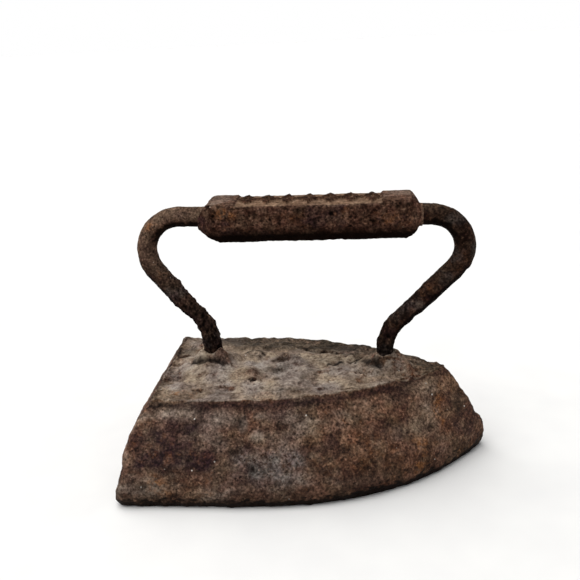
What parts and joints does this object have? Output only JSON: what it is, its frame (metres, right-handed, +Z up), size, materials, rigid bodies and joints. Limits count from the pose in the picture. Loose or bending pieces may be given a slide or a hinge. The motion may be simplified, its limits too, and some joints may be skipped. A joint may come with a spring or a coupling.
{
  "type": "flat iron",
  "caption": "Old solid cast-iron flat iron (sad iron): boat-shaped body, round-bar handle cast into it, and a cast grip round the bar.",
  "frame": {"origin": "on the ground under the middle of the whole object's box", "axes": "+X from the heel to the toe, +Y to the left of the toe, +Z up from the sole"},
  "size_m": [0.1564, 0.102, 0.1157],
  "materials": {
    "body_iron": "heavily rusted, pitted casting with sandy dust on its top face",
    "bar_iron": "dark rusted bar, rough and pitted towards its feet",
    "grip_iron": "rusted casting, worn along its edges, dust in the sunk panel"
  },
  "bodies": {
    "root": {"body": "body_iron", "rear_post": "bar_iron", "front_post": "bar_iron", "handle_bow": "bar_iron", "grip": "grip_iron"}
  },
  "joints": []
}
